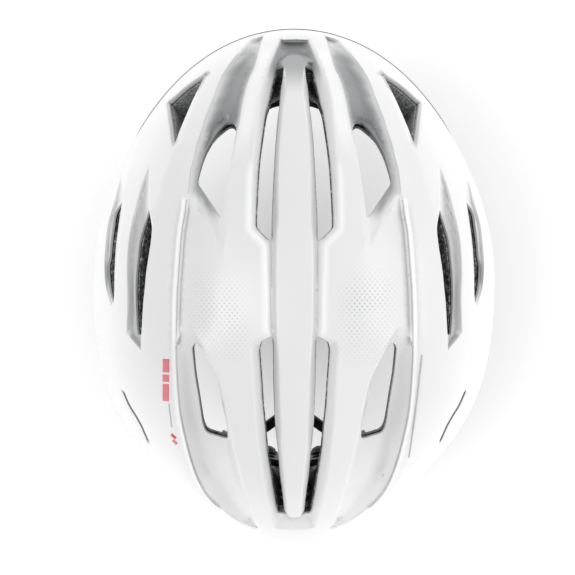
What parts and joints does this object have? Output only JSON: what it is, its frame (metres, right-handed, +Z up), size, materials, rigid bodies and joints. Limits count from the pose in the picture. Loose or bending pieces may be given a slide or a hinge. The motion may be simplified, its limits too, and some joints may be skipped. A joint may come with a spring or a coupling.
{
  "type": "cycling helmet",
  "caption": "Vented road cycling helmet with a thin white shell over dark foam, long front and rear air channels, a dial-adjusted rear cradle and a buckled chin strap.",
  "frame": {"origin": "centre of the head opening, at the level where the wearer's head is widest", "axes": "+Z up through the crown, -Y to the front, +X to the wearer's left; straps hang below, buckled"},
  "size_m": [0.2224, 0.2863, 0.2545],
  "materials": {
    "shell": "satin white printed shell with a fading dot pattern",
    "lower_shell": "satin off-white",
    "foam": "moulded bead foam, dark grey",
    "pad_cloth": "knitted cloth over foam",
    "hook_tape": "hook tape",
    "dial": "fine matt",
    "plastic": "smooth matt nylon",
    "magnet": "plated",
    "rubber": "matt",
    "webbing": "woven polyester webbing"
  },
  "bodies": {
    "helmet": {"outer_shell": "shell", "lower_shell": "lower_shell", "eps_liner": "foam", "strap_anchor_front_left": "plastic", "strap_anchor_front_right": "plastic", "strap_anchor_rear_left": "plastic", "strap_anchor_rear_right": "plastic", "temple_anchor_left": "plastic", "temple_anchor_right": "plastic", "yoke_anchor": "plastic", "brow_pad": "pad_cloth", "crown_pad_centre": "pad_cloth", "crown_pad_left": "pad_cloth", "crown_pad_right": "pad_cloth", "side_pad_left": "pad_cloth", "side_pad_right": "pad_cloth", "crown_disc_centre": "hook_tape", "crown_disc_left": "hook_tape", "crown_disc_right": "hook_tape", "side_disc_left": "hook_tape", "side_disc_right": "hook_tape", "brow_disc_left": "hook_tape", "brow_disc_right": "hook_tape", "front_strap_left": "webbing", "front_strap_right": "webbing", "rear_strap_left": "webbing", "rear_strap_right": "webbing", "divider_left": "plastic", "divider_right": "plastic", "chin_strap_left": "webbing", "buckle_base": "plastic", "base_magnet": "magnet", "chin_strap_right": "webbing", "strap_tail": "webbing"},
    "headband": {"band_left": "plastic", "band_right": "plastic"},
    "cradle": {"cradle": "plastic", "occipital_pad_left": "pad_cloth", "occipital_pad_right": "pad_cloth", "yoke": "plastic", "dial_housing": "plastic", "housing_cover": "plastic", "ratchet_ring": "plastic"},
    "dial": {"dial_knob": "dial", "pinion": "dial", "pawl_spring": "dial"},
    "rack_left": {"rack_left": "plastic"},
    "rack_right": {"rack_right": "plastic"},
    "lever_left": {"divider_lever_left": "plastic"},
    "lever_right": {"divider_lever_right": "plastic"},
    "keeper": {"strap_keeper": "rubber"},
    "buckle_slider": {"buckle_slider": "plastic", "slider_magnet": "magnet"}
  },
  "joints": [
    {"name": "headband_tilt", "type": "hinge", "parent": "helmet", "child": "headband", "pos_m": [0, -0.045, 0.008], "axis": [1, 0, 0], "range_deg": [-9, 0]},
    {"name": "cradle_tighten", "type": "slide", "parent": "headband", "child": "cradle", "axis": [0, -1, 0], "range_m": [0, 0.014]},
    {"name": "dial_turn", "type": "hinge", "parent": "cradle", "child": "dial", "pos_m": [0, 0.1084, -0.064], "axis": [0, 1, 0], "range_deg": [-180, 180]},
    {"name": "rack_left_slide", "type": "slide", "parent": "cradle", "child": "rack_left", "axis": [1, 0, 0], "range_m": [-0.014, 0.014]},
    {"name": "rack_right_slide", "type": "slide", "parent": "cradle", "child": "rack_right", "axis": [1, 0, 0], "range_m": [-0.014, 0.014]},
    {"name": "lever_left_open", "type": "hinge", "parent": "helmet", "child": "lever_left", "pos_m": [0.0742, 0, -0.0752], "axis": [0, -1, 0], "range_deg": [0, 75]},
    {"name": "lever_right_open", "type": "hinge", "parent": "helmet", "child": "lever_right", "pos_m": [-0.0742, 0, -0.0752], "axis": [0, 1, 0], "range_deg": [0, 75]},
    {"name": "keeper_slide", "type": "slide", "parent": "helmet", "child": "keeper", "axis": [-0.7071, 0, 0.7071], "range_m": [-0.008, 0.008]},
    {"name": "buckle_slide", "type": "slide", "parent": "helmet", "child": "buckle_slider", "axis": [0, 1, 0], "range_m": [0, 0.016]}
  ],
  "couplings": [
    {"joint": "dial_turn", "follows": "cradle_tighten", "rad_per_m": -222.22},
    {"joint": "rack_left_slide", "follows": "cradle_tighten", "ratio": -1},
    {"joint": "rack_right_slide", "follows": "cradle_tighten", "ratio": 1}
  ]
}
